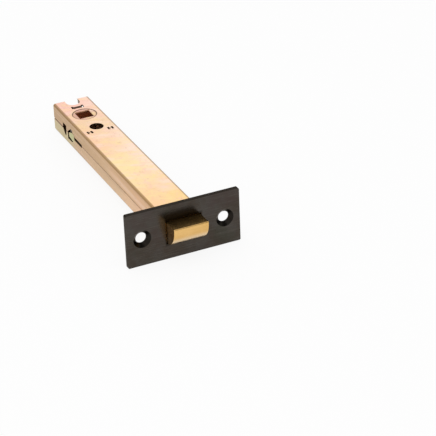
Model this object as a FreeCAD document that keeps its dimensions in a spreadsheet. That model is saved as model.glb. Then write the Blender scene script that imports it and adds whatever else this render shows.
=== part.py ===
import FreeCAD, Part
import math
import os
import Sketcher
from types import SimpleNamespace

# Tubular door latch, in millimetres. The origin is the middle of the forend's back face.
# +X is the bolt's throw, +Y runs along the forend and +Z is the spindle's axis.

doc = FreeCAD.newDocument("TubularLatch")
sheet = doc.addObject("Spreadsheet::Sheet", "Sizes")

driving_sizes = {
    # Forend
    "forend_length": 62.0,
    "forend_width": 29.7,
    "forend_thickness": 2.5,
    "forend_corner": 0.5,
    "screw_spacing": 45.3,
    "screw_hole": 5.8,
    "screw_head": 9.6,
    "case_recess": 1.2,
    # Case
    "case_width": 21.2,
    "case_height": 15.8,
    "case_sheet": 0.8,
    "bend_radius": 1.2,
    "latch_length": 152.0,
    "case_tail": 20.6,
    "seam_drop": 0.5,
    "seam_gap": 0.2,
    "rear_seam_gap": 0.6,
    "seat_clearance": 0.05,
    # Holes and cut-outs of the case
    "through_bolt_hole": 7.8,
    "through_bolt_offset": 17.5,
    "notch_rim": 1.6,
    "seam_slot_start": 9.7,
    "seam_slot_length": 11.2,
    "seam_slot_height": 1.9,
    "tongue_start": 1.9,
    "tongue_end": 9.5,
    "tongue_rise": 1.5,
    "tongue_root": 2.4,
    "tongue_slit": 1.9,
    "tongue_slope": 4.6,
    "tongue_shelf": 2.4,
    "slit_tip_inset": 1.8,
    "lance_front": 1.8,
    "lance_width": 5.0,
    "lance_rise": 2.5,
    "lance_drop": 3.8,
    "lance_point": 1.8,
    "lance_front_slant": 0.75,
    "lance_rear_slant": 0.4,
    # Cross plates
    "plate_thickness": 1.2,
    "spring_plate_offset": 23.0,
    "rear_plate_offset": 10.5,
    "tab_spacing": 12.0,
    "tab_width": 1.2,
    "rear_tab_width": 5.0,
    "tab_recess": 0.15,
    "tab_notch_depth": 1.2,
    "relief_width": 1.2,
    "relief_length": 2.9,
    "slot_end_room": 0.45,
    "rear_slot_room": 1.1,
    # Spindle hub
    "spindle_square": 8.1,
    "hub_boss": 13.0,
    "hub_clearance": 0.2,
    "hub_recess": 0.1,
    "socket_lead": 0.4,
    "hub_ledge": 0.9,
    "hub_collar": 1.2,
    "hub_play": 0.15,
    "arm_height": 4.0,
    "arm_nose": 0.6,
    "arm_root": 3.4,
    "arm_undercut": 1.0,
    "arm_tip_clearance": 0.4,
    # Retractor yoke
    "yoke_sheet": 1.0,
    "yoke_bend": 1.6,
    "yoke_side_clearance": 0.3,
    "yoke_end_clearance": 0.9,
    "yoke_heel": 1.5,
    "lug_gap": 0.45,
    "lug_overlap": 0.2,
    "lug_clearance": 0.35,
    "window_length": 5.0,
    # Springs
    "return_spring_length": 24.0,
    "return_spring_coil": 9.4,
    "return_spring_wire": 1.2,
    "return_spring_turns": 6.0,
    "bolt_spring_length": 26.0,
    "bolt_spring_coil": 6.6,
    "bolt_spring_wire": 0.8,
    "bolt_spring_turns": 8.0,
    "spring_end_gap": 0.1,
    # Bolt and its tail
    "bolt_throw": 9.8,
    "bolt_length": 22.0,
    "bolt_side_clearance": 0.15,
    "bolt_shoulder": 0.8,
    "bolt_side_step": 0.2,
    "aperture_gap": 0.45,
    "bolt_stop_gap": 0.1,
    "bolt_heel": 0.3,
    "bolt_tip_flat": 1.0,
    "bolt_edge": 0.4,
    "bolt_corner": 0.9,
    "tail_rod": 5.0,
    "tail_neck": 4.0,
    "tail_fit": 0.05,
    "tail_depth": 12.0,
    "tail_collar": 9.0,
    "tail_collar_width": 1.5,
    "tail_slide_clearance": 0.2,
    "rivet_head": 6.0,
    "rivet_height": 1.2,
    "washer_diameter": 7.2,
    "washer_thickness": 0.8,
    "tail_pin": 2.5,
    "tail_pin_inset": 6.0,
    "tail_pin_recess": 0.2,
}


class Size:
    # A number that keeps its formula, so that every feature stays tied to the sheet.

    def __init__(self, value, formula):
        self.value = value
        self.formula = formula

    def __add__(self, other):
        other = as_size(other)
        return Size(self.value + other.value, f"({self.formula} + {other.formula})")

    def __sub__(self, other):
        other = as_size(other)
        return Size(self.value - other.value, f"({self.formula} - {other.formula})")

    def __mul__(self, other):
        other = as_size(other)
        return Size(self.value * other.value, f"({self.formula} * {other.formula})")

    def __truediv__(self, other):
        other = as_size(other)
        return Size(self.value / other.value, f"({self.formula} / {other.formula})")

    def __neg__(self):
        return Size(-self.value, f"(0 - {self.formula})")

    def root(self):
        return Size(math.sqrt(self.value), f"sqrt({self.formula})")


def as_size(number):
    return number if isinstance(number, Size) else Size(float(number), f"({number})")


for row, (alias, number) in enumerate(driving_sizes.items(), 1):
    sheet.set(f"A{row}", alias)
    sheet.set(f"B{row}", str(number))
    sheet.setAlias(f"B{row}", alias)
doc.recompute()
d = SimpleNamespace(**{a: Size(n, f"Sizes.{a}") for a, n in driving_sizes.items()})
zero = Size(0.0, "0")
wire_sides = 6
runs_per_turn = 12
tolerance = 1e-4
nose_round_share = 0.95

# Places that several pieces share. Stations along X are measured from the spindle's axis.
half_width = d.case_width / 2
half_height = d.case_height / 2
inner_half_width = half_width - d.case_sheet
inner_half_height = half_height - d.case_sheet
seam = -d.seam_drop
rear_x = d.forend_thickness - d.latch_length
spindle_x = rear_x + d.case_tail
hub_hole = d.hub_boss + d.hub_clearance * 2
spring_plate_x = spindle_x + d.spring_plate_offset
rear_plate_x = spindle_x - d.rear_plate_offset

# The arms swing evenly either side of square to the case, so half the throw is their rest station.
arm_reach = inner_half_width - d.arm_tip_clearance - d.arm_nose
arm_sine = d.bolt_throw / 2 / arm_reach
arm_cosine = (as_size(1) - arm_sine * arm_sine).root()
lug_front = d.bolt_throw / 2 - d.arm_nose - d.lug_gap
lug_inner = arm_reach * arm_cosine - d.lug_overlap

leg_outer = inner_half_width - d.yoke_side_clearance
leg_inner = leg_outer - d.yoke_sheet
yoke_half_height = inner_half_height - d.yoke_end_clearance
web_rear = d.spring_plate_offset + d.plate_thickness / 2 + d.return_spring_length
web_front = web_rear + d.yoke_sheet
collar_rear = web_front + d.bolt_spring_length

shoulder_x = d.case_recess - d.bolt_stop_gap
bolt_rear = shoulder_x - d.bolt_length
bolt_half_width = inner_half_width - d.bolt_side_clearance
bolt_half_height = inner_half_height - d.bolt_side_clearance
nose_half_width = bolt_half_width - d.bolt_side_step
nose_half_height = bolt_half_height - d.bolt_shoulder
pin_x = bolt_rear + d.tail_pin_inset


def new_body(label):
    body = doc.addObject("PartDesign::Body", label)
    body.Label = label
    return body


def place_along_x(body, station):
    body.setExpression("Placement.Base.x", station.formula)


def new_sketch(body, name, plane, offset=None):
    sketch = body.newObject("Sketcher::SketchObject", f"{body.Label}_{name}")
    support = next(f for f in body.Origin.OriginFeatures if f.Role == plane)
    sketch.AttachmentSupport = [(support, "")]
    sketch.MapMode = "FlatFace"
    if offset is not None:
        sketch.setExpression("AttachmentOffset.Base.z", offset.formula)
    return sketch


def tie(sketch, kind, geometry, point, size):
    link = Sketcher.Constraint(kind, -1, 1, geometry, point, size.value)
    sketch.setExpression(f"Constraints[{sketch.addConstraint(link)}]", size.formula)


def vector(point):
    return FreeCAD.Vector(point[0].value, point[1].value, 0)


def draw_outline(sketch, points):
    # Closed outline of straight lines, with every corner tied to the sheet.
    first = sketch.GeometryCount
    count = len(points)
    for n in range(count):
        line = Part.LineSegment(vector(points[n]), vector(points[(n + 1) % count]))
        sketch.addGeometry(line, False)
    for n, (across, up) in enumerate(points):
        following = first + (n + 1) % count
        sketch.addConstraint(Sketcher.Constraint("Coincident", first + n, 2, following, 1))
        tie(sketch, "DistanceX", first + n, 1, across)
        tie(sketch, "DistanceY", first + n, 1, up)


def draw_rectangle(sketch, left, right, low, high):
    draw_outline(sketch, [(left, low), (right, low), (right, high), (left, high)])


def draw_circle(sketch, across, up, diameter):
    shape = Part.Circle(vector((across, up)), FreeCAD.Vector(0, 0, 1), diameter.value / 2)
    circle = sketch.addGeometry(shape, False)
    tie(sketch, "DistanceX", circle, 3, across)
    tie(sketch, "DistanceY", circle, 3, up)
    size = sketch.addConstraint(Sketcher.Constraint("Diameter", circle, diameter.value))
    sketch.setExpression(f"Constraints[{size}]", diameter.formula)


def add_pad(body, sketch, length, reverse=False, both_ways=False):
    pad = body.newObject("PartDesign::Pad", f"{sketch.Label}_pad")
    pad.Profile = sketch
    pad.setExpression("Length", length.formula)
    pad.Reversed = reverse
    pad.SideType = "Symmetric" if both_ways else "One side"
    doc.recompute()
    return pad


def add_pocket(body, sketch, depth=None, reverse=False, both_ways=False):
    # With no depth the cut goes right through. A cut that misses the solid is an error.
    before = body.Shape.Volume
    pocket = body.newObject("PartDesign::Pocket", f"{sketch.Label}_cut")
    pocket.Profile = sketch
    if depth is None:
        pocket.Type = "ThroughAll"
    else:
        pocket.setExpression("Length", depth.formula)
    pocket.Reversed = reverse
    pocket.SideType = "Symmetric" if both_ways else "One side"
    doc.recompute()
    if body.Shape.Volume > before - tolerance:
        raise RuntimeError(f"{pocket.Label} cuts nothing")
    return pocket


def dress_edges(body, kind, size, chosen):
    # Rounds or chamfers the edges of the body's last feature that the test chooses.
    base = body.Tip
    edges = [f"Edge{n}" for n, edge in enumerate(base.Shape.Edges, 1) if chosen(edge)]
    if not edges:
        raise RuntimeError(f"no edge to dress on {body.Label}")
    feature = body.newObject(f"PartDesign::{kind}", f"{body.Label}_{kind}")
    feature.Base = (base, edges)
    feature.setExpression("Radius" if kind == "Fillet" else "Size", size.formula)
    doc.recompute()
    return feature


def runs_along(edge, axis):
    # True for a straight edge along the axis named x, y or z.
    if not isinstance(edge.Curve, Part.Line):
        return False
    return abs(getattr(edge.Curve.Direction, axis)) > 1 - tolerance


def lies_at(edge, axis, size):
    return abs(getattr(edge.CenterOfMass, axis) - size.value) < tolerance


def make_forend():
    body = new_body("forend")
    outline = new_sketch(body, "outline", "YZ_Plane")
    half_length = d.forend_length / 2
    half_side = d.forend_width / 2
    draw_rectangle(outline, -half_length, half_length, -half_side, half_side)
    add_pad(body, outline, d.forend_thickness)
    dress_edges(body, "Chamfer", d.forend_corner, lambda edge: runs_along(edge, "x"))

    # The case is let into the back, and the ledge left above and below the aperture is the bolt's stop.
    recess = new_sketch(body, "case_recess", "YZ_Plane")
    side = half_width + d.seat_clearance
    rise = half_height + d.seat_clearance
    draw_rectangle(recess, -side, side, -rise, rise)
    add_pocket(body, recess, d.case_recess, reverse=True)

    def is_recess_corner(edge):
        middle = edge.CenterOfMass
        off_side = abs(abs(middle.y) - side.value)
        off_rise = abs(abs(middle.z) - rise.value)
        return runs_along(edge, "x") and max(off_side, off_rise) < tolerance

    dress_edges(body, "Fillet", d.bend_radius, is_recess_corner)

    aperture = new_sketch(body, "bolt_aperture", "YZ_Plane")
    across = nose_half_width + d.aperture_gap
    up = nose_half_height + d.aperture_gap
    draw_rectangle(aperture, -across, across, -up, up)
    add_pocket(body, aperture, reverse=True)

    screws = new_sketch(body, "screw_holes", "YZ_Plane")
    for y in (-d.screw_spacing / 2, d.screw_spacing / 2):
        draw_circle(screws, y, zero, d.screw_hole)
    add_pocket(body, screws, reverse=True)

    def is_front_rim(edge):
        round_edge = isinstance(edge.Curve, Part.Circle)
        return round_edge and edge.isClosed() and lies_at(edge, "x", d.forend_thickness)

    dress_edges(body, "Chamfer", (d.screw_head - d.screw_hole) / 2, is_front_rim)
    return body


def tab_places():
    # Centre along X, centre along Y and width of each tab that shows in a wide face.
    paired = [(spring_plate_x, y, d.tab_width) for y in (-d.tab_spacing / 2, d.tab_spacing / 2)]
    return paired + [(rear_plate_x, zero, d.rear_tab_width)]


def add_notch_rim(body, upper):
    # The sheet around the rear through bolt is turned inwards. The rim's rear part is cut off at the end.
    notch_x = spindle_x - d.through_bolt_offset
    rim_low = inner_half_height - d.notch_rim
    rim = new_sketch(body, "notch_rim", "XY_Plane", rim_low if upper else -rim_low)
    outside = d.through_bolt_hole + d.case_sheet * 2
    draw_circle(rim, notch_x, zero, outside)
    add_pad(body, rim, d.notch_rim + d.case_sheet / 2, reverse=not upper)
    behind = new_sketch(body, "rim_end", "XY_Plane")
    draw_rectangle(behind, rear_x - outside, rear_x, -outside, outside)
    add_pocket(body, behind, reverse=upper)


def cut_wide_face(body, upper):
    holes = new_sketch(body, "wide_face_holes", "XY_Plane")
    draw_circle(holes, spindle_x, zero, hub_hole)
    for x in (spindle_x - d.through_bolt_offset, spindle_x + d.through_bolt_offset):
        draw_circle(holes, x, zero, d.through_bolt_hole)
    slot_half = d.plate_thickness / 2 + d.seat_clearance
    for x, y, width in tab_places():
        half = width / 2 + d.slot_end_room
        draw_rectangle(holes, x - slot_half, x + slot_half, y - half, y + half)
    add_pocket(body, holes, reverse=upper)

    # The rear through bolt's hole is open to the end.
    mouth = new_sketch(body, "notch_mouth", "XY_Plane")
    half_mouth = d.through_bolt_hole / 2
    draw_rectangle(mouth, rear_x - d.case_sheet, spindle_x - d.through_bolt_offset, -half_mouth, half_mouth)
    add_pocket(body, mouth, reverse=upper)

    # Reliefs along the case at both ends of every tab slot, and room in front of the rear tab.
    reliefs = new_sketch(body, "slot_reliefs", "XY_Plane")
    half_length = d.relief_length / 2
    half_relief = d.relief_width / 2
    for x, y, width in tab_places():
        half = width / 2 + d.slot_end_room
        for end in (y - half, y + half):
            draw_rectangle(reliefs, x - half_length, x + half_length, end - half_relief, end + half_relief)
    add_pocket(body, reliefs, reverse=upper)
    room = new_sketch(body, "rear_slot_room", "XY_Plane")
    half_room = d.rear_tab_width / 2 + d.slot_end_room
    draw_rectangle(room, rear_plate_x, rear_plate_x + slot_half + d.rear_slot_room, -half_room, half_room)
    add_pocket(body, room, reverse=upper)


def cut_side_walls(body, name, outlines):
    # Outlines are in stations from the spindle's axis and heights, and go through both side walls.
    cuts = new_sketch(body, name, "XZ_Plane")
    for outline in outlines:
        draw_outline(cuts, [(spindle_x + station, height) for station, height in outline])
    add_pocket(body, cuts, both_ways=True)


def lance_outline():
    # Wedge that narrows downwards across the seam, behind the hub.
    front = -d.lance_front
    rear = front - d.lance_width
    point = front - d.lance_front_slant
    return [(rear, d.lance_rise), (front, d.lance_rise), (point, -d.lance_drop),
            (point - d.lance_point, -d.lance_drop), (rear - d.lance_rear_slant, seam)]


def rear_seam_outline():
    # The seam stands open between the lance and the rear end.
    front = -d.lance_front - d.lance_width / 2
    rear = -d.case_tail - d.case_sheet
    low = seam - d.rear_seam_gap / 2
    high = seam + d.rear_seam_gap / 2
    return [(rear, low), (front, low), (front, high), (rear, high)]


def seam_slot_outline():
    end = d.seam_slot_start + d.seam_slot_length
    low = seam - d.seam_slot_height / 2
    high = seam + d.seam_slot_height / 2
    return [(d.seam_slot_start, low), (end, low), (end, high), (d.seam_slot_start, high)]


def make_case_shell(label, upper):
    # Channel folded from sheet: one wide face and two walls that end at the seam.
    side = as_size(1 if upper else -1)
    wall_end = seam + side * d.seam_gap / 2
    body = new_body(label)
    section = new_sketch(body, "section", "YZ_Plane", d.case_recess)
    outer = side * half_height
    inner = side * inner_half_height
    draw_outline(section, [
        (-half_width, wall_end), (-half_width, outer), (half_width, outer), (half_width, wall_end),
        (inner_half_width, wall_end), (inner_half_width, inner),
        (-inner_half_width, inner), (-inner_half_width, wall_end)])
    add_pad(body, section, d.case_recess - rear_x, reverse=True)
    dress_edges(body, "Fillet", d.bend_radius,
                lambda edge: runs_along(edge, "x") and lies_at(edge, "z", outer))
    dress_edges(body, "Fillet", d.bend_radius - d.case_sheet,
                lambda edge: runs_along(edge, "x") and lies_at(edge, "z", inner))
    add_notch_rim(body, upper)
    cut_wide_face(body, upper)
    return body


def make_upper_case_shell():
    body = make_case_shell("upper_case_shell", True)
    # Notch around the lower shell's tongue: wide behind and above it, a seam's gap in front.
    tongue_top = d.tongue_rise + d.seam_gap
    slit_top = tongue_top + d.tongue_slit - d.seam_gap * 2
    slit_rear = d.tongue_start - d.tongue_slit
    slope_end = slit_rear + d.tongue_slope
    below_seam = seam - d.seam_gap
    slit_front = slope_end + d.tongue_shelf
    notch_front = d.tongue_end + d.seam_gap
    notch = [(slit_rear, below_seam), (slit_rear, zero), (slope_end, slit_top), (slit_front, slit_top),
             (slit_front, tongue_top), (notch_front, tongue_top), (notch_front, below_seam)]
    cut_side_walls(body, "wall_cuts", [notch, lance_outline()])
    cut_side_walls(body, "seam_cuts", [rear_seam_outline(), seam_slot_outline()])
    return body


def make_lower_case_shell():
    body = make_case_shell("lower_case_shell", False)
    # Tongue on both walls, standing up across the seam.
    wall_top = seam - d.seam_gap / 2
    foot = wall_top - d.case_sheet
    shoulder = d.tongue_start + d.tongue_slit
    crest = d.tongue_start + d.tongue_slope
    tongue = [(d.tongue_start, foot), (d.tongue_start, zero), (shoulder, d.tongue_rise / 2),
              (crest, d.tongue_rise), (d.tongue_end, d.tongue_rise), (d.tongue_end, foot)]
    walls = [("left_tongue", half_width, True), ("right_tongue", -half_width, False)]
    for name, offset, reverse in walls:
        wall = new_sketch(body, name, "XZ_Plane", offset)
        draw_outline(wall, [(spindle_x + station, height) for station, height in tongue])
        add_pad(body, wall, d.case_sheet, reverse=reverse)

    # Slit that runs down behind the tongue and forward beneath it, to a point.
    slit_rear = d.tongue_start - d.tongue_slit
    slit_low = -d.tongue_root - d.tongue_slit
    slit_tip = d.tongue_end - d.slit_tip_inset
    slit_middle = slit_low + d.tongue_slit / 2
    slit = [(slit_rear, slit_low), (slit_tip - d.tongue_slit, slit_low), (slit_tip, slit_middle),
            (d.tongue_start, -d.tongue_root), (d.tongue_start, seam), (slit_rear, seam)]
    cut_side_walls(body, "wall_cuts", [slit, lance_outline()])
    cut_side_walls(body, "seam_cuts", [rear_seam_outline(), seam_slot_outline()])
    return body


def make_cross_plate(label, station, plate_half_width, tabs, notches):
    # Plate across the case, staked through both wide faces by its tabs, with a notch beside each tab.
    body = new_body(label)
    place_along_x(body, station)
    plate_half_height = inner_half_height - d.seat_clearance
    plate = new_sketch(body, "plate", "YZ_Plane")
    draw_rectangle(plate, -plate_half_width, plate_half_width, -plate_half_height, plate_half_height)
    add_pad(body, plate, d.plate_thickness, both_ways=True)
    reliefs = new_sketch(body, "tab_notches", "YZ_Plane")
    notch_floor = plate_half_height - d.tab_notch_depth
    for left, right in notches:
        draw_rectangle(reliefs, left, right, notch_floor, half_height)
        draw_rectangle(reliefs, left, right, -half_height, -notch_floor)
    add_pocket(body, reliefs, both_ways=True)
    fingers = new_sketch(body, "tabs", "YZ_Plane")
    tab_end = half_height - d.tab_recess
    for y, width in tabs:
        draw_rectangle(fingers, y - width / 2, y + width / 2, -tab_end, tab_end)
    add_pad(body, fingers, d.plate_thickness, both_ways=True)
    return body


def make_spring_bulkhead():
    plate_half_width = leg_inner - d.lug_clearance
    outer = d.tab_spacing / 2 + d.tab_width / 2
    inner = d.tab_spacing / 2 - d.tab_width / 2
    past_edge = plate_half_width + d.case_sheet
    notch_end = inner - d.slot_end_room - d.relief_width / 2
    notches = [(-past_edge, -outer), (-inner, -notch_end), (notch_end, inner), (outer, past_edge)]
    tabs = [(y, width) for x, y, width in tab_places()[:2]]
    return make_cross_plate("spring_bulkhead", spring_plate_x, plate_half_width, tabs, notches)


def make_rear_bulkhead():
    plate_half_width = inner_half_width - d.seat_clearance
    edge = d.rear_tab_width / 2
    notch_end = edge + d.slot_end_room + d.relief_width / 2
    notches = [(-notch_end, -edge), (edge, notch_end)]
    tabs = [(y, width) for x, y, width in tab_places()[2:]]
    body = make_cross_plate("rear_bulkhead", rear_plate_x, plate_half_width, tabs, notches)

    def is_corner(line):
        return runs_along(line, "x") and abs(abs(line.CenterOfMass.y) - plate_half_width.value) < tolerance

    dress_edges(body, "Fillet", d.bend_radius, is_corner)
    return body


def make_spindle_hub():
    body = new_body("spindle_hub")
    place_along_x(body, spindle_x)
    boss = d.hub_boss / 2
    ledge = boss + d.hub_ledge
    core = lug_inner - d.lug_clearance
    end = half_height - d.hub_recess
    collar_top = inner_half_height - d.hub_play
    collar_low = collar_top - d.hub_collar
    # Turned outline: a core the lugs pass beside, a collar inside each wide face and a boss in its hole.
    profile = new_sketch(body, "profile", "XZ_Plane")
    upper = [(core, collar_low), (ledge, collar_low), (ledge, collar_top),
             (boss, collar_top), (boss, end)]
    lower = [(radius, -height) for radius, height in reversed(upper)]
    draw_outline(profile, [(zero, -end)] + lower + upper + [(zero, end)])
    turned = body.newObject("PartDesign::Revolution", "spindle_hub_turned")
    turned.Profile = profile
    turned.ReferenceAxis = (profile, ["V_Axis"])
    turned.Angle = 360
    doc.recompute()

    # Two arms that lean forward by the same angle. Each narrows to a rounded nose, and its rear flank
    # is undercut so that only the nose meets the lug.
    arms = new_sketch(body, "arms", "XY_Plane")
    tip = arm_reach + d.arm_nose
    for sign in (as_size(1), as_size(-1)):
        ends = [(boss / 2, d.arm_root), (tip, d.arm_nose), (tip, -d.arm_nose),
                (boss / 2, d.arm_undercut)]
        draw_outline(arms, [
            (out * arm_sine + wide * arm_cosine, sign * (out * arm_cosine - wide * arm_sine))
            for out, wide in ends])
    add_pad(body, arms, d.arm_height, both_ways=True)

    def is_nose(edge):
        middle = edge.CenterOfMass
        return runs_along(edge, "z") and math.hypot(middle.x, middle.y) > arm_reach.value

    dress_edges(body, "Fillet", d.arm_nose * nose_round_share, is_nose)
    socket = new_sketch(body, "spindle_socket", "XY_Plane")
    half = d.spindle_square / 2
    draw_rectangle(socket, -half, half, -half, half)
    add_pocket(body, socket, both_ways=True)

    def is_mouth(edge):
        straight = runs_along(edge, "x") or runs_along(edge, "y")
        return straight and abs(abs(edge.CenterOfMass.z) - end.value) < tolerance

    dress_edges(body, "Chamfer", d.socket_lead, is_mouth)
    return body


def make_retractor_yoke():
    body = new_body("retractor_yoke")
    place_along_x(body, spindle_x)
    leg_end = lug_front - d.yoke_sheet - d.yoke_heel
    strip = new_sketch(body, "strip", "XY_Plane")
    draw_outline(strip, [
        (leg_end, -leg_outer), (web_front, -leg_outer), (web_front, leg_outer),
        (leg_end, leg_outer), (leg_end, leg_inner), (web_rear, leg_inner),
        (web_rear, -leg_inner), (leg_end, -leg_inner)])
    add_pad(body, strip, yoke_half_height * 2, both_ways=True)
    dress_edges(body, "Fillet", d.yoke_bend,
                lambda edge: runs_along(edge, "z") and lies_at(edge, "x", web_front))
    dress_edges(body, "Fillet", d.yoke_bend - d.yoke_sheet,
                lambda edge: runs_along(edge, "z") and lies_at(edge, "x", web_rear))

    # A window in each leg lets the arm's nose through, and its rear end is folded in as a lug.
    windows = new_sketch(body, "windows", "XZ_Plane")
    half_window = d.arm_height / 2 + d.lug_clearance
    draw_rectangle(windows, lug_front, lug_front + d.window_length, -half_window, half_window)
    add_pocket(body, windows, both_ways=True)
    lugs = new_sketch(body, "lugs", "XY_Plane")
    for sign in (as_size(1), as_size(-1)):
        draw_rectangle(lugs, lug_front - d.yoke_sheet, lug_front, sign * lug_inner,
                       sign * (leg_inner + d.yoke_sheet / 2))
    add_pad(body, lugs, d.arm_height, both_ways=True)

    eye = new_sketch(body, "tail_eye", "YZ_Plane", web_rear - d.yoke_sheet)
    draw_circle(eye, zero, zero, d.tail_neck + d.tail_slide_clearance * 2)
    add_pocket(body, eye, reverse=True)
    return body


def make_spring(label, start, length, coil, wire, turns):
    # Open coil about the case's long axis, with a small gap at each seat. A point at angle t of the turn
    # stands at the coil's radius and climbs evenly with t; short straight runs of six-sided wire join
    # the points, and the points stand a little outside the coil so that the runs cross it evenly.
    reach = coil.value / 2 / math.sqrt(math.cos(math.pi / runs_per_turn))
    runs = round(turns.value * runs_per_turn)
    climb = (length - wire - d.spring_end_gap * 2).value / runs
    points = []
    for n in range(runs + 1):
        angle = 2 * math.pi * n / runs_per_turn
        points.append(FreeCAD.Vector(n * climb, reach * math.cos(angle), reach * math.sin(angle)))
    rim = Part.makeCircle(wire.value / 2, points[0], points[1] - points[0])
    section = Part.makePolygon(rim.discretize(wire_sides + 1))
    square_corners = 1
    spring = doc.addObject("Part::Feature", label)
    spring.Label = label
    spring.Shape = Part.makePolygon(points).makePipeShell([section], True, False, square_corners)
    spring.setExpression("Placement.Base.x", (start + d.spring_end_gap + wire / 2).formula)
    return spring


def make_return_spring():
    start = spring_plate_x + d.plate_thickness / 2
    return make_spring("return_spring", start, d.return_spring_length, d.return_spring_coil,
                       d.return_spring_wire, d.return_spring_turns)


def make_bolt_spring():
    return make_spring("bolt_spring", spindle_x + web_front, d.bolt_spring_length, d.bolt_spring_coil,
                       d.bolt_spring_wire, d.bolt_spring_turns)


def make_latch_bolt():
    body = new_body("latch_bolt")
    block = new_sketch(body, "block", "YZ_Plane", shoulder_x)
    draw_rectangle(block, -bolt_half_width, bolt_half_width, -bolt_half_height, bolt_half_height)
    add_pad(body, block, d.bolt_length, reverse=True)
    dress_edges(body, "Fillet", d.bolt_corner, lambda edge: runs_along(edge, "x"))

    # Nose: flat on top, with a round bevel that leaves the tip upright and meets the underside at the heel.
    tip = d.forend_thickness + d.bolt_throw
    heel = d.forend_thickness + d.bolt_heel
    root = shoulder_x - d.bolt_corner
    bevel_top = nose_half_height - d.bolt_tip_flat
    run = tip - heel
    rise = bevel_top + nose_half_height
    radius = (run * run + rise * rise) / (run * 2)
    nose = new_sketch(body, "nose", "XZ_Plane")
    corners = [(heel, -nose_half_height), (root, -nose_half_height), (root, nose_half_height),
               (tip, nose_half_height), (tip, bevel_top)]
    for low, high in zip(corners, corners[1:]):
        last = nose.addGeometry(Part.LineSegment(vector(low), vector(high)), False)
    centre = (tip - radius, bevel_top)
    start = -math.atan2(rise.value, heel.value - centre[0].value)
    bevel_circle = Part.Circle(vector(centre), FreeCAD.Vector(0, 0, 1), radius.value)
    bevel = nose.addGeometry(Part.ArcOfCircle(bevel_circle, start, 0), False)
    for n in range(last):
        nose.addConstraint(Sketcher.Constraint("Coincident", n, 2, n + 1, 1))
    nose.addConstraint(Sketcher.Constraint("Coincident", last, 2, bevel, 2))
    nose.addConstraint(Sketcher.Constraint("Coincident", 0, 1, bevel, 1))
    for n, (across, up) in enumerate(corners):
        line, point = (n, 1) if n <= last else (last, 2)
        tie(nose, "DistanceX", line, point, across)
        tie(nose, "DistanceY", line, point, up)
    tie(nose, "DistanceY", bevel, 3, bevel_top)
    add_pad(body, nose, nose_half_width * 2, both_ways=True)

    def is_nose_edge(edge):
        middle = edge.CenterOfMass
        on_side = abs(abs(middle.y) - nose_half_width.value) < tolerance
        clear_of_shoulder = middle.x > shoulder_x.value + tolerance
        return clear_of_shoulder and (on_side or lies_at(edge, "x", tip))

    dress_edges(body, "Fillet", d.bolt_edge, is_nose_edge)

    bore = new_sketch(body, "tail_bore", "YZ_Plane", bolt_rear)
    draw_circle(bore, zero, zero, d.tail_rod + d.tail_fit * 2)
    add_pocket(body, bore, d.tail_depth, reverse=True)
    pin_hole = new_sketch(body, "pin_hole", "XY_Plane")
    draw_circle(pin_hole, pin_x, zero, d.tail_pin + d.tail_fit * 2)
    add_pocket(body, pin_hole, both_ways=True)
    return body


def make_bolt_tail():
    # Turned rod: riveted head, neck through the yoke's eye, collar for the spring, rod into the bolt.
    body = new_body("bolt_tail")
    head_front = spindle_x + web_rear - d.washer_thickness - d.seat_clearance * 2
    collar_x = spindle_x + collar_rear
    front = bolt_rear + d.tail_depth - d.tail_fit
    steps = [(d.rivet_head / 2, head_front - d.rivet_height, head_front),
             (d.tail_neck / 2, head_front, collar_x),
             (d.tail_collar / 2, collar_x, collar_x + d.tail_collar_width),
             (d.tail_rod / 2, collar_x + d.tail_collar_width, front)]
    outline = [(steps[0][1], zero)]
    for radius, low, high in steps:
        outline += [(low, radius), (high, radius)]
    profile = new_sketch(body, "profile", "XZ_Plane")
    draw_outline(profile, outline + [(front, zero)])
    turned = body.newObject("PartDesign::Revolution", "bolt_tail_turned")
    turned.Profile = profile
    turned.ReferenceAxis = (profile, ["H_Axis"])
    turned.Angle = 360
    doc.recompute()
    pin_hole = new_sketch(body, "pin_hole", "XY_Plane")
    draw_circle(pin_hole, pin_x, zero, d.tail_pin + d.tail_fit * 2)
    add_pocket(body, pin_hole, both_ways=True)
    return body


def make_tail_washer():
    body = new_body("tail_washer")
    place_along_x(body, spindle_x + web_rear - d.seat_clearance)
    ring = new_sketch(body, "ring", "YZ_Plane")
    draw_circle(ring, zero, zero, d.washer_diameter)
    draw_circle(ring, zero, zero, d.tail_neck + d.tail_slide_clearance)
    add_pad(body, ring, d.washer_thickness, reverse=True)
    return body


def make_tail_pin():
    body = new_body("tail_pin")
    place_along_x(body, pin_x)
    section = new_sketch(body, "section", "XY_Plane")
    draw_circle(section, zero, zero, d.tail_pin)
    add_pad(body, section, (bolt_half_height - d.tail_pin_recess) * 2, both_ways=True)
    return body


sub_parts = [
    make_forend(), make_upper_case_shell(), make_lower_case_shell(),
    make_spring_bulkhead(), make_rear_bulkhead(), make_spindle_hub(),
    make_retractor_yoke(), make_return_spring(), make_bolt_spring(),
    make_latch_bolt(), make_bolt_tail(), make_tail_washer(), make_tail_pin(),
]
doc.recompute()

for item in doc.Objects:
    if "Invalid" in item.State or "Error" in item.State:
        raise RuntimeError(f"{item.Label} failed: {item.State}")
for body in sub_parts:
    if body.Shape.isNull() or not body.Shape.isValid() or len(body.Shape.Solids) != 1:
        raise RuntimeError(f"{body.Label} is not one valid solid")

os.makedirs("parts", exist_ok=True)
for body in sub_parts:
    body.Shape.exportStep(os.path.join("parts", f"{body.Label}.step"))
    print(f"{body.Label}: {body.Shape.Volume:.1f} mm3")
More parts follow.
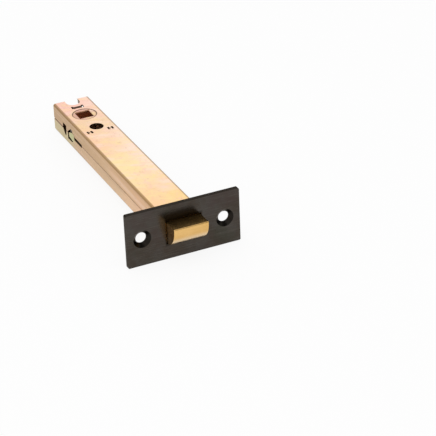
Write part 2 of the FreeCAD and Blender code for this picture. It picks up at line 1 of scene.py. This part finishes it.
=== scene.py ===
import math
import bpy
import numpy as np
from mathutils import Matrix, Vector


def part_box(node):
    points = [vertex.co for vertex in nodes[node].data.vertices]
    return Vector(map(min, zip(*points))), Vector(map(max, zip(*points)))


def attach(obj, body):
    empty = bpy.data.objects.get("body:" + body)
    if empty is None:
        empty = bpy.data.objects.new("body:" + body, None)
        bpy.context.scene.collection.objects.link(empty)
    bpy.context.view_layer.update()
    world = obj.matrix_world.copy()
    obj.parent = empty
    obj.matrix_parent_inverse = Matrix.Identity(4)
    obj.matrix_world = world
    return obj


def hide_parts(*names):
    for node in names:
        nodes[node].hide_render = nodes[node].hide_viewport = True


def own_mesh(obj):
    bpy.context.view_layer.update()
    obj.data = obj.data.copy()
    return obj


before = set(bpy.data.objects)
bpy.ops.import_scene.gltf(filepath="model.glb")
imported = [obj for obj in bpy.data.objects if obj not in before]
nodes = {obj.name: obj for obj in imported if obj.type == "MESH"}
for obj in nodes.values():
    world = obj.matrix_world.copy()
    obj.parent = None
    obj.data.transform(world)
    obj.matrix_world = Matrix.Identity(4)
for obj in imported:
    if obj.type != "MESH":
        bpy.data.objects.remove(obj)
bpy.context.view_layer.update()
print("frame loaded:", len(nodes), "nodes")

mm = 0.001


# shader helpers

def setSockets(node, values):
    for socket, value in values.items():
        node.inputs[socket].default_value = value
    return node


def addNode(tree, kind, values=None, **settings):
    node = tree.nodes.new("ShaderNode" + kind)
    for name, setting in settings.items():
        setattr(node, name, setting)
    return setSockets(node, values or {})


def addMath(tree, operation, first, second=None, clamp=False):
    # a Math node; each operand is a socket or a number
    node = addNode(tree, "Math", operation=operation, use_clamp=clamp)
    for place, operand in enumerate((first, second)):
        if operand is None:
            continue
        if isinstance(operand, (int, float)):
            node.inputs[place].default_value = operand
        else:
            tree.links.new(operand, node.inputs[place])
    return node.outputs[0]


def addFade(tree, value, low, high):
    # smooth step of a socket from 0 at low to 1 at high
    node = addNode(tree, "MapRange", {"From Min": low, "From Max": high}, interpolation_type="SMOOTHSTEP")
    tree.links.new(value, node.inputs["Value"])
    return node.outputs["Result"]


def addBand(tree, value, low, high, soft):
    # 1 between low and high, fading out over the soft distance at both ends
    rising, falling = addFade(tree, value, low, low + soft), addFade(tree, value, high, high - soft)
    return addMath(tree, "MULTIPLY", rising, falling)


def addMix(tree, factor, first, second, blend="MIX"):
    # colour mix; each colour is a socket or an rgb triple
    node = addNode(tree, "Mix", data_type="RGBA", blend_type=blend)
    for place, operand in ((0, factor), (6, first), (7, second)):
        if isinstance(operand, (int, float)):
            node.inputs[place].default_value = operand
        elif isinstance(operand, tuple):
            node.inputs[place].default_value = operand + (1.0,)
        else:
            tree.links.new(operand, node.inputs[place])
    return node.outputs[2]


def addLayers(tree, colour, layers, tints, fields):
    # lays tints over a colour one after another; a mask is the layer's amount times a step of each field it
    # names: two marks fade it in from the first to the second, and a third makes it a band with soft ends
    for tint, amount, marks in layers:
        mask = amount
        for field, edges in marks.items():
            step = addFade if len(edges) == 2 else addBand
            mask = addMath(tree, "MULTIPLY", step(tree, fields[field], *edges), mask)
        colour = addMix(tree, mask, colour, tints[tint])
    return colour


def addRamp(tree, factor, stops):
    node = addNode(tree, "ValToRGB")
    ramp = node.color_ramp
    ramp.elements[0].position, ramp.elements[1].position = stops[0][0], stops[-1][0]
    for position, _ in stops[1:-1]:
        ramp.elements.new(position)
    for element, (_, colour) in zip(ramp.elements, stops):
        element.color = colour + (1.0,)
    tree.links.new(factor, node.inputs["Fac"])
    return node.outputs["Color"]


def addParts(tree, vector):
    node = addNode(tree, "SeparateXYZ")
    tree.links.new(vector, node.inputs[0])
    return node.outputs


def addPlace(tree, place):
    # the place on the piece in mm, with its distances from the middle planes
    scaled = addNode(tree, "VectorMath", {"Scale": 1 / mm}, operation="SCALE")
    tree.links.new(place, scaled.inputs[0])
    x, y, z = addParts(tree, scaled.outputs[0])
    return {"x": x, "y": y, "z": z,
            "reach": addMath(tree, "ABSOLUTE", y), "rise": addMath(tree, "ABSOLUTE", z)}


def addFacing(tree):
    # how far a face is turned along X and Z, without sign
    along, _, upward = addParts(tree, addNode(tree, "NewGeometry").outputs["True Normal"])
    return addMath(tree, "ABSOLUTE", along), addMath(tree, "ABSOLUTE", upward)


def addMirrored(tree, path):
    # 1 for rays that metal or glass sends on
    return addMath(tree, "MAXIMUM", path.outputs["Is Glossy Ray"], path.outputs["Is Transmission Ray"])


def newGroup(name, inputs, outputs):
    # empty node group with named float or vector sockets
    tree = bpy.data.node_groups.new(name, "ShaderNodeTree")
    for socket, kind in inputs:
        tree.interface.new_socket(name=socket, in_out="INPUT", socket_type="NodeSocket" + kind)
    for socket, kind in outputs:
        tree.interface.new_socket(name=socket, in_out="OUTPUT", socket_type="NodeSocket" + kind)
    return tree, tree.nodes.new("NodeGroupInput"), tree.nodes.new("NodeGroupOutput")


def makeCloudGroup():
    # soft patches: one wide noise bent by its own distortion, with a finer one laid over it
    finer = 7.0
    tree, given, made = newGroup(
        "cloudPatches", [("Vector", "Vector"), ("Scale", "Float"), ("Grit", "Float")], [("Cloud", "Float")])
    wide = addNode(tree, "TexNoise", {"Detail": 3.0, "Roughness": 0.55, "Distortion": 0.6})
    fine = addNode(tree, "TexNoise", {"Detail": 4.0, "Roughness": 0.7})
    for noise in (wide, fine):
        tree.links.new(given.outputs["Vector"], noise.inputs["Vector"])
    tree.links.new(given.outputs["Scale"], wide.inputs["Scale"])
    tree.links.new(addMath(tree, "MULTIPLY", given.outputs["Scale"], finer), fine.inputs["Scale"])
    gritty = addMath(tree, "SUBTRACT", fine.outputs[0], 0.5)
    gritty = addMath(tree, "MULTIPLY", gritty, given.outputs["Grit"])
    tree.links.new(addMath(tree, "ADD", wide.outputs[0], gritty, clamp=True), made.inputs["Cloud"])
    return tree


def makeBrushGroup():
    # hairline scratches: noise squeezed across the brushing direction and drawn out along it
    tree, given, made = newGroup(
        "brushLines", [("Vector", "Vector"), ("Stretch", "Vector")], [("Line", "Float")])
    scaled = addNode(tree, "VectorMath", operation="MULTIPLY")
    tree.links.new(given.outputs["Vector"], scaled.inputs[0])
    tree.links.new(given.outputs["Stretch"], scaled.inputs[1])
    noise = addNode(tree, "TexNoise", {"Scale": 1.0, "Detail": 5.0, "Roughness": 0.65})
    tree.links.new(scaled.outputs[0], noise.inputs["Vector"])
    tree.links.new(noise.outputs[0], made.inputs["Line"])
    return tree


cloudGroup = makeCloudGroup()
brushGroup = makeBrushGroup()


def addCloud(tree, vector, scale, grit):
    node = addNode(tree, "Group", node_tree=cloudGroup)
    setSockets(node, {"Scale": scale, "Grit": grit})
    tree.links.new(vector, node.inputs["Vector"])
    return node.outputs["Cloud"]


def addBrush(tree, vector, stretch):
    node = addNode(tree, "Group", node_tree=brushGroup)
    setSockets(node, {"Stretch": stretch})
    tree.links.new(vector, node.inputs["Vector"])
    return node.outputs["Line"]


def newMaterial(name, sockets):
    # material with a bare Principled shader; returns its tree, shader and Object coordinates
    material = bpy.data.materials.new(name)
    material.use_nodes = True
    tree = material.node_tree
    shader = next(node for node in tree.nodes if node.type == "BSDF_PRINCIPLED")
    setSockets(shader, sockets)
    return material, tree, shader, addNode(tree, "TexCoord").outputs["Object"]


def setFinish(tree, shader, colour, sheen, relief, look):
    # colour, roughness spread over the sheen mask, and fine relief over broken edges
    tree.links.new(colour, shader.inputs["Base Color"])
    dull, duller = look["roughness"]
    spread = addNode(tree, "MapRange", {"To Min": dull, "To Max": duller})
    tree.links.new(sheen, spread.inputs["Value"])
    tree.links.new(spread.outputs["Result"], shader.inputs["Roughness"])
    strength, depth = look["relief"]
    broken = addNode(tree, "Bevel", {"Radius": look["edge"]}, samples=6)
    bump = addNode(tree, "Bump", {"Strength": strength, "Distance": depth})
    tree.links.new(broken.outputs["Normal"], bump.inputs["Normal"])
    tree.links.new(relief, bump.inputs["Height"])
    tree.links.new(bump.outputs["Normal"], shader.inputs["Normal"])


# yellow passivated zinc: cloudy film that drifts from pink at the rear to straw near the forend; x, y, z,
# reach and rise are in mm
zincFilm = {
    "length": 150.0,                  # the bands are spread along this much of the case
    "bands": [                        # share of the length from the rear end, and colour
        (0.06, (0.95, 0.57, 0.47)),
        (0.23, (0.90, 0.64, 0.41)),
        (0.43, (0.98, 0.68, 0.47)),
        (0.62, (1.00, 0.78, 0.42)),
        (0.80, (0.99, 0.68, 0.41)),
        (0.95, (0.99, 0.69, 0.29)),
    ],
    "walls": [                        # the duller narrow sides, by the same share
        (0.05, (0.54, 0.36, 0.19)),
        (0.50, (0.68, 0.46, 0.26)),
        (0.95, (0.89, 0.55, 0.34)),
    ],
    "drift": 0.40,                    # how far the clouds push the bands along the case
    "wallDrift": 0.50,
    "upper": (0.88, 0.82, 0.68),      # the upper shell's walls are tanner than the lower one's by this
    "upperFrom": (-0.6, -0.2),
    "clouds": {                       # scale and grit
        "drifting": (38.0, 0.25),
        "patches": (75.0, 0.5),
        "mottle": (150.0, 0.8),
        "flecks": (420.0, 0.9),
    },
    "streaks": {                      # stretch along each axis
        "drawn": (16.0, 420.0, 420.0),
        "grain": (60.0, 900.0, 900.0),
    },
    "wisps": (210.0, 62.0, 140.0),    # lie across the case, turned by the slant
    "slant": 0.35,
    "tints": {
        "blush": (1.00, 0.77, 0.64),
        "amber": (0.97, 0.60, 0.36),
        "pink": (1.00, 0.63, 0.50),
        "straw": (1.00, 0.76, 0.36),
        "olive": (0.58, 0.52, 0.27),
        "pale": (0.80, 0.55, 0.40),
        "tan": (0.42, 0.27, 0.14),
        # painted sheen colour for the wall
        "rosySheen": (0.86, 0.60, 0.43),
        "green": (0.50, 0.55, 0.24),
        "crack": (0.30, 0.17, 0.10),
        # painted shade along the fold
        "fold": (0.28, 0.15, 0.045),
        "speck": (0.52, 0.28, 0.16),
        # painted shade colour of the inside and the sheared edges
        "inside": (0.16, 0.10, 0.05),
    },
    "faceLayers": [                   # tint, amount, and marks of its fields
        # the first two blush layers are painted highlight towards the far edge, the first broken by the
        # film's patches
        ("blush", 0.85, {"y": (-2.0, 12.0), "patches": (0.35, 0.65), "x": (-18.0, -40.0)}),
        ("blush", 0.75, {"x": (-104.0, -46.0, 18.0), "y": (0.5, 8.0)}),
        ("amber", 0.55, {"x": (-122.0, -66.0, 16.0), "y": (1.0, -9.0)}),
        ("amber", 0.55, {"x": (-40.0, -22.0), "y": (1.0, -9.0)}),
        ("pink", 0.55, {"mottle": (0.52, 0.72)}),
        ("straw", 0.55, {"mottle": (0.47, 0.28)}),
        ("blush", 0.60, {"wisps": (0.50, 0.66), "x": (-14.0, -36.0)}),
        ("straw", 0.50, {"wisps": (0.48, 0.34)}),
    ],
    "wallLayers": [
        ("olive", 0.80, {"z": (-0.4, -2.0), "x": (-112.0, -130.0)}),
        ("pale", 0.45, {"drawn": (0.50, 0.68)}),
        ("tan", 0.45, {"drawn": (0.48, 0.32)}),
        ("speck", 0.35, {"z": (-1.4, 0.4, 0.8)}),                            # stain along the seam
        ("crack", 0.25, {"z": (-0.95, -0.05, 0.35)}),                        # its brown core
        # painted sheen: a lighter band along the wall above the seam near the forend
        ("rosySheen", 0.60, {"z": (0.2, 4.0, 1.4), "x": (-90.0, -45.0)}),
        ("green", 0.85, {"x": (-127.5, -118.5, 2.0), "z": (-3.5, 2.0, 1.0)}),  # tongue across the seam
    ],
    "coatLayers": [
        ("wall", 0.92, {"reach": (9.9, 10.5)}),
        # painted shade along the fold
        ("fold", 0.75, {"reach": (8.9, 9.7), "rise": (6.7, 7.5)}),
        ("speck", 0.35, {"flecks": (0.60, 0.78)}),
    ],
    "grainLayers": [("speck", 0.14, {"grain": (0.55, 0.80)})],
    "sheetInside": (9.82, 7.12),      # inner faces lie within this reach and rise
    "rimsAbove": 7.0,                 # steep edges above this are the rims of holes
    "seamsBelow": 6.5,                # flat edges below this lie in the seam
    "turns": {                        # a face's normal reaches this far along an axis
        "end": 0.5,                   # at least, along X
        "steep": 0.3,                 # at most, along Z
        "flat": 0.7,                  # at least, along Z
    },
    "shadeDepth": 0.9,                     # how dark the painted shade on the inside and the sheared edges is
    "spindle": -128.9,                # the painted shade also lies in the round gap about the spindle
    "ring": (6.05, 7.15, 0.2),
    "ringShade": 0.8,
    "roughness": (0.28, 0.40),
    "relief": (0.08, 0.05 * mm),
    "edge": 0.10 * mm,
}


def addShadeMask(tree, fields, look):
    # painted shade mask of the inner faces and the sheared edges, which face along X, stand across a wide
    # face or lie flat in the seam, and of the shaded ring in the gap, a band of the distance from the
    # spindle's axis
    along, upright = addFacing(tree)
    reach, rise = look["sheetInside"]
    inner = addMath(tree, "MULTIPLY", addMath(tree, "LESS_THAN", fields["reach"], reach),
                    addMath(tree, "LESS_THAN", fields["rise"], rise))
    ends = addMath(tree, "GREATER_THAN", along, look["turns"]["end"])
    rims = addMath(tree, "MULTIPLY", addMath(tree, "LESS_THAN", upright, look["turns"]["steep"]),
                   addMath(tree, "GREATER_THAN", fields["rise"], look["rimsAbove"]))
    seams = addMath(tree, "MULTIPLY", addMath(tree, "GREATER_THAN", upright, look["turns"]["flat"]),
                    addMath(tree, "LESS_THAN", fields["rise"], look["seamsBelow"]))
    offset = addNode(tree, "CombineXYZ")
    tree.links.new(addMath(tree, "SUBTRACT", fields["x"], look["spindle"]), offset.inputs[0])
    tree.links.new(fields["y"], offset.inputs[1])
    distance = addNode(tree, "VectorMath", operation="LENGTH")
    tree.links.new(offset.outputs[0], distance.inputs[0])
    ring = addBand(tree, distance.outputs["Value"], *look["ring"])
    mask = addMath(tree, "MULTIPLY", ring, look["ringShade"])
    for other in (inner, ends, rims, seams):
        mask = addMath(tree, "MAXIMUM", mask, other)
    return addMath(tree, "MULTIPLY", mask, look["shadeDepth"])


def makeZinc(name, look):
    material, tree, shader, place = newMaterial(name, {"Metallic": 1.0})
    fields = addPlace(tree, place)
    for cloud, (scale, grit) in look["clouds"].items():
        fields[cloud] = addCloud(tree, place, scale, grit)
    for streak, stretch in look["streaks"].items():
        fields[streak] = addBrush(tree, place, stretch)
    turned = addNode(tree, "Mapping", {"Rotation": (0.0, 0.0, look["slant"])})
    tree.links.new(place, turned.inputs["Vector"])
    fields["wisps"] = addBrush(tree, turned.outputs["Vector"], look["wisps"])
    share = addMath(tree, "ADD", addMath(tree, "DIVIDE", fields["x"], look["length"]), 1.0)

    def banded(cloud, drift, stops):
        push = addMath(tree, "MULTIPLY", addMath(tree, "SUBTRACT", fields[cloud], 0.5), drift)
        return addRamp(tree, addMath(tree, "ADD", share, push), stops)

    wall = banded("patches", look["wallDrift"], look["walls"])
    wall = addMix(tree, addFade(tree, fields["z"], *look["upperFrom"]), wall, look["upper"], "MULTIPLY")
    tints = dict(look["tints"])
    tints["wall"] = addLayers(tree, wall, look["wallLayers"], tints, fields)
    film = banded("drifting", look["drift"], look["bands"])
    film = addLayers(tree, film, look["faceLayers"] + look["coatLayers"], tints, fields)
    # painted shade: the inside, the sheared edges and the gap about the spindle turn to the dark inside
    # colour
    film = addMix(tree, addShadeMask(tree, fields, look), film, tints["inside"])
    film = addLayers(tree, film, look["grainLayers"], tints, fields)
    setFinish(tree, shader, film, fields["patches"], fields["grain"], look)
    return material


# the hub's film is duller, and the painted shade in its socket is a warmer brown
hubFilm = {"tint": (0.70, 0.60, 0.66), "inside": (0.58, 0.32, 0.18)}
hubBands = [(share, tuple(np.multiply(colour, hubFilm["tint"]).tolist()))
            for share, colour in zincFilm["bands"]]
hubTints = dict(zincFilm["tints"], inside=hubFilm["inside"])

# dark bronze plating: nearly black brown with faint warm and cool stains under fine brushing
bronzeLook = {
    "brown": (0.062, 0.050, 0.040),
    "tints": {
        "grey": (0.072, 0.064, 0.056),
        "plum": (0.068, 0.050, 0.046),
        "green": (0.050, 0.050, 0.036),
        "bright": (0.098, 0.086, 0.074),
        "black": (0.014, 0.012, 0.010),
    },
    "clouds": {"stain": (95.0, 0.4), "drift": (52.0, 0.2)},
    "stretch": (2600.0, 90.0, 2600.0),
    "layers": [
        ("grey", 1.0, {"stain": (0.35, 0.65)}),
        ("plum", 0.6, {"drift": (0.52, 0.70)}),
        ("green", 0.6, {"drift": (0.46, 0.30)}),
        ("bright", 0.55, {"brushing": (0.48, 0.68)}),
        ("black", 0.6, {"beside": (1.2, 0.0), "above": (1.2, 0.0)}),    # painted shade round the bolt's aperture, in mm from the bolt
        ("black", 0.85, {"along": (0.98, 0.85)}),                       # painted shade on the sheared edges and countersinks
    ],
    "glance": (0.66, 0.63, 0.60),     # dull at a glancing angle
    "roughness": (0.20, 0.32),
    "relief": (0.15, 0.04 * mm),
    "edge": 0.15 * mm,
}


def makeBronze(name, look):
    sockets = {"Metallic": 1.0, "Specular Tint": look["glance"] + (1.0,)}
    material, tree, shader, place = newMaterial(name, sockets)
    fields = addPlace(tree, place)
    for cloud, (scale, grit) in look["clouds"].items():
        fields[cloud] = addCloud(tree, place, scale, grit)
    fields["brushing"] = addBrush(tree, place, look["stretch"])
    _, halfWidth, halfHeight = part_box("latch_bolt")[1]
    fields["beside"] = addMath(tree, "SUBTRACT", fields["reach"], halfWidth / mm)
    fields["above"] = addMath(tree, "SUBTRACT", fields["rise"], halfHeight / mm)
    fields["along"], _ = addFacing(tree)
    colour = addLayers(tree, look["brown"], look["layers"], look["tints"], fields)
    setFinish(tree, shader, colour, fields["brushing"], fields["brushing"], look)
    return material


# brushed metals: the deep colour turns light along the brushing and in soft patches
brushing = {"cloud": (120.0, 0.4), "lightFrom": (0.35, 0.65), "relief": (0.12, 0.04 * mm)}
brassLook = {                         # satin brass of the bolt, drawn along its width
    "light": (0.84, 0.53, 0.20),
    "deep": (0.76, 0.46, 0.15),
    "lowerSheen": (0.90, 0.66, 0.37),       # painted highlight: paler lower half of the bevel
    "lowerSheenAt": (1.5, -2.5),
    "roughness": (0.23, 0.29),
    "stretch": (1500.0, 70.0, 1500.0),
    "edge": 0.10 * mm,
}
steelLook = {
    "light": (0.30, 0.27, 0.24),
    "deep": (0.19, 0.17, 0.15),
    "roughness": (0.30, 0.45),
    "stretch": (60.0, 900.0, 900.0),
    "edge": 0.12 * mm,
}
tabShadeLook = {                           # dark brown of the rear bulkhead, painted shade in the rear slots where its tabs show
    "light": (0.20, 0.105, 0.058),
    "deep": (0.10, 0.048, 0.026),
    "roughness": (0.30, 0.45),
    "stretch": (300.0, 300.0, 300.0),
    "edge": 0.08 * mm,
}
wireLook = {
    "light": (0.48, 0.48, 0.49),
    "deep": (0.30, 0.29, 0.29),
    "roughness": (0.22, 0.38),
    "stretch": (400.0, 400.0, 400.0),
    "edge": 0.05 * mm,
}


def makeBrushedMetal(name, look):
    material, tree, shader, place = newMaterial(name, {"Metallic": 1.0})
    line = addBrush(tree, place, look["stretch"])
    cloud = addCloud(tree, place, *brushing["cloud"])
    mean = addMath(tree, "MULTIPLY", addMath(tree, "ADD", line, cloud), 0.5)
    colour = addMix(tree, addFade(tree, mean, *brushing["lightFrom"]), look["deep"], look["light"])
    # painted highlight on the lower half of the bolt's bevel
    if "lowerSheen" in look:
        sheenMask = addFade(tree, addPlace(tree, place)["z"], *look["lowerSheenAt"])
        colour = addMix(tree, sheenMask, colour, look["lowerSheen"])
    setFinish(tree, shader, colour, line, line, dict(brushing, **look))
    return material


zinc = makeZinc("passivatedZinc", zincFilm)
hubZinc = makeZinc("hubZinc", dict(zincFilm, bands=hubBands, tints=hubTints))
bronze = makeBronze("darkBronze", bronzeLook)
brass = makeBrushedMetal("satinBrass", brassLook)
steel = makeBrushedMetal("plainSteel", steelLook)
tabShade = makeBrushedMetal("shadedTab", tabShadeLook)
wire = makeBrushedMetal("springWire", wireLook)
print("materials made")


# finish of the solid pieces: material and record slot
solidFinish = {
    "forend": (bronze, "dark_bronze"),
    "upper_case_shell": (zinc, "passivated_zinc"),
    "lower_case_shell": (zinc, "passivated_zinc"),
    "spring_bulkhead": (zinc, "passivated_zinc"),
    "rear_bulkhead": (tabShade, "passivated_zinc"),
    "spindle_hub": (hubZinc, "hub_metal"),
    "retractor_yoke": (steel, "plain_steel"),
    "latch_bolt": (brass, "bolt_brass"),
    "bolt_tail": (steel, "plain_steel"),
    "tail_washer": (steel, "plain_steel"),
    "tail_pin": (steel, "plain_steel"),
}
for node, (material, slot) in solidFinish.items():
    piece = nodes[node]
    piece.data.materials.clear()
    piece.data.materials.append(material)
print("solids dressed")


def linkPiece(name, data):
    piece = bpy.data.objects.new(name, data)
    bpy.context.scene.collection.objects.link(piece)
    return piece


def gridMesh(name, points):
    # closed tube from an array of rings (rings, sides, 3); the end rings are closed by one point each
    rings, sides = points.shape[:2]
    ring = np.arange(rings - 1)[:, None] * sides
    here = np.arange(sides)[None, :]
    after = (here + 1) % sides
    quads = np.stack([ring + here, ring + sides + here, ring + sides + after, ring + after], -1)
    first, last, lastRing = rings * sides, rings * sides + 1, (rings - 1) * sides
    head = np.stack([np.full(sides, first), here[0], after[0]], -1)
    foot = np.stack([np.full(sides, last), lastRing + after[0], lastRing + here[0]], -1)
    ends = np.stack([points[0].mean(0), points[-1].mean(0)])
    mesh = bpy.data.meshes.new(name)
    mesh.from_pydata(np.concatenate([points.reshape(-1, 3), ends]).tolist(), [],
                     quads.reshape(-1, 4).tolist() + head.tolist() + foot.tolist())
    mesh.polygons.foreach_set("use_smooth", np.ones(len(mesh.polygons), bool))
    mesh.update()
    return linkPiece(name, mesh)


def makeSpring(name, look):
    # a point of the wire's centre line at turn t stands at coil radius r about the X axis and climbs with
    # t: slowly over the closed end turns and evenly between them; the wire's ring lies square to that line
    low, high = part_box(look["node"])
    wireRadius, coilRadius = look["wire"] / 2, look["coil"] / 2
    turns = np.linspace(0, look["turns"], int(look["turns"] * look["steps"]) + 1)
    rate = 1 - look["closed"] * (np.exp(-(turns / look["endTurn"]) ** 4)
                                 + np.exp(-((look["turns"] - turns) / look["endTurn"]) ** 4))
    climb = np.concatenate([[0], np.cumsum((rate[1:] + rate[:-1]) / 2)])
    x = low[0] + wireRadius + climb / climb[-1] * (high[0] - low[0] - 2 * wireRadius)
    angle = turns * 2 * math.pi
    line = np.stack([x, coilRadius * np.cos(angle), coilRadius * np.sin(angle)], -1)
    along = np.gradient(line, axis=0)
    along /= np.linalg.norm(along, axis=1, keepdims=True)
    outward = np.stack([np.zeros_like(angle), np.cos(angle), np.sin(angle)], -1)
    sideways = np.cross(along, outward)
    turn = np.linspace(0, 2 * math.pi, look["sides"], endpoint=False)[None, :, None]
    ring = outward[:, None] * np.cos(turn) + sideways[:, None] * np.sin(turn)
    piece = gridMesh(name, line[:, None] + ring * wireRadius)
    piece.data.materials.append(wire)
    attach(piece, look["body"])
    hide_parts(look["node"])
    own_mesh(piece)


returnSpring = {
    "node": "return_spring", "body": "case", "joint": "retractor_slide",
    "wire": 1.2 * mm, "coil": 9.4 * mm, "turns": 8.0, "closed": 0.62, "endTurn": 0.9,
    "steps": 48, "sides": 16,
}
boltSpring = {
    "node": "bolt_spring", "body": "retractor", "joint": "bolt_push",
    "wire": 0.8 * mm, "coil": 6.6 * mm, "turns": 11.0, "closed": 0.55, "endTurn": 0.9,
    "steps": 48, "sides": 14,
}
makeSpring("return_spring_wire", returnSpring)
makeSpring("bolt_spring_wire", boltSpring)
print("springs wound")


# floor: a plane through the forend's lower edge and the case's lower rear edge, where the latch rests
floorLook = {
    "reach": 3.0,
    "sink": 0.05 * mm,
    "albedo": (0.86, 0.86, 0.86),
    "roughness": 0.9,
    "specular": 0.1,
    "white": 0.88,            # share of plain white that the camera sees
    "mirrored": 0.60,         # and that metal mirrors
}


def makeFloor(look):
    front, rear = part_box("forend"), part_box("lower_case_shell")
    slope = (rear[0][2] - front[0][2]) / (rear[0][0] - front[0][0])
    corners = np.array([[-1, -1], [1, -1], [1, 1], [-1, 1]]) * look["reach"]
    height = front[0][2] + (corners[:, 0] - front[0][0]) * slope - look["sink"]
    mesh = bpy.data.meshes.new("floor")
    mesh.from_pydata(np.column_stack([corners, height]).tolist(), [], [[0, 1, 2, 3]])
    floor = linkPiece("floor", mesh)
    sockets = {"Base Color": look["albedo"] + (1.0,), "Roughness": look["roughness"],
               "Specular IOR Level": look["specular"]}
    material, tree, shader, _ = newMaterial("paleFloor", sockets)
    path = addNode(tree, "LightPath")
    seen = addMath(tree, "MULTIPLY", path.outputs["Is Camera Ray"], look["white"])
    mirrored = addMath(tree, "MULTIPLY", addMirrored(tree, path), look["mirrored"])
    glow = addNode(tree, "Emission", {"Color": (1, 1, 1, 1), "Strength": 1.0})

    def blend(factor, first, second):
        node = addNode(tree, "MixShader")
        for place, operand in enumerate((factor, first, second)):
            tree.links.new(operand, node.inputs[place])
        return node.outputs[0]

    lit = blend(addMath(tree, "MAXIMUM", seen, mirrored), shader.outputs[0], glow.outputs[0])
    below = addNode(tree, "NewGeometry").outputs["Backfacing"]     # clear when seen from below
    oneSided = blend(below, lit, addNode(tree, "BsdfTransparent").outputs[0])
    output = next(node for node in tree.nodes if node.type == "OUTPUT_MATERIAL")
    tree.links.new(oneSided, output.inputs["Surface"])
    mesh.materials.append(material)


makeFloor(floorLook)

# studio: white behind and overhead, a little dimmer in front, with a dark screen that the metal mirrors
studioLook = {
    "ambient": 0.85,
    "surround": 1.04,
    "room": 0.80,
    "back": (-0.32, 0.15, 1.0),       # direction towards which the room brightens
    "backEdge": (0.40, 0.70),         # shares along it between which the room turns white
    "screen": (0.80, 0.343, 0.487),   # the screen stands in front on the right
    "screenEdge": (0.74, 0.90),       # shares along it between which the screen darkens
    "screenShade": 0.08,
}
lamps = {
    "overhead": {"place": (0.15, -0.25, 1.3), "size": 1.2, "power": 4.0},
}


def makeStudio(look):
    world = bpy.data.worlds.new("studio")
    bpy.context.scene.world = world
    world.use_nodes = True
    tree = world.node_tree
    background = next(node for node in tree.nodes if node.type == "BACKGROUND")
    path = addNode(tree, "LightPath")
    ray = addNode(tree, "TexCoord").outputs["Generated"]

    def towards(direction, edge):
        toward = addNode(tree, "VectorMath", {1: direction}, operation="DOT_PRODUCT")
        tree.links.new(ray, toward.inputs[0])
        return addFade(tree, toward.outputs["Value"], *edge)

    behind = towards(look["back"], look["backEdge"])
    screened = towards(look["screen"], look["screenEdge"])
    lit = addMath(tree, "MULTIPLY", behind, look["surround"] - look["room"])
    shade = addMath(tree, "MULTIPLY", screened, 1 - look["screenShade"])
    room = addMath(tree, "MULTIPLY", addMath(tree, "ADD", lit, look["room"]),
                   addMath(tree, "SUBTRACT", 1.0, shade))
    mirrored = addMirrored(tree, path)
    plain = addMath(tree, "MULTIPLY", addMath(tree, "SUBTRACT", 1.0, mirrored), look["ambient"])
    strength = addMath(tree, "ADD", addMath(tree, "MULTIPLY", mirrored, room), plain)
    seen = addMath(tree, "MULTIPLY", path.outputs["Is Camera Ray"], look["surround"])
    background.inputs["Color"].default_value = (1, 1, 1, 1)
    tree.links.new(addMath(tree, "MAXIMUM", strength, seen), background.inputs["Strength"])


def makeLamp(name, look):
    lamp = bpy.data.lights.new(name, "AREA")
    lamp.shape, lamp.size, lamp.energy = "DISK", look["size"], look["power"]
    piece = linkPiece(name, lamp)
    piece.location = look["place"]
    piece.rotation_mode = "QUATERNION"
    piece.rotation_quaternion = (-piece.location).to_track_quat("-Z", "Y")


makeStudio(studioLook)
for name, look in lamps.items():
    makeLamp(name, look)

# camera at the photograph's angle
cameraLook = {
    "place": (0.75611, -0.32268, 0.45828),
    "turn": (61.046, 1.972, 64.530),     # degrees about X, Y and Z
    "lens": 155.47,                      # mm
    "sensor": 36.0,
    "clip": 0.01,
}


def makeCamera(look):
    lens = bpy.data.cameras.new("camera")
    lens.lens, lens.sensor_width, lens.clip_start = look["lens"], look["sensor"], look["clip"]
    camera = linkPiece("camera", lens)
    camera.location = look["place"]
    camera.rotation_euler = [math.radians(angle) for angle in look["turn"]]
    bpy.context.scene.camera = camera


makeCamera(cameraLook)
bpy.context.scene.view_settings.view_transform = "Standard"
print("stage set")
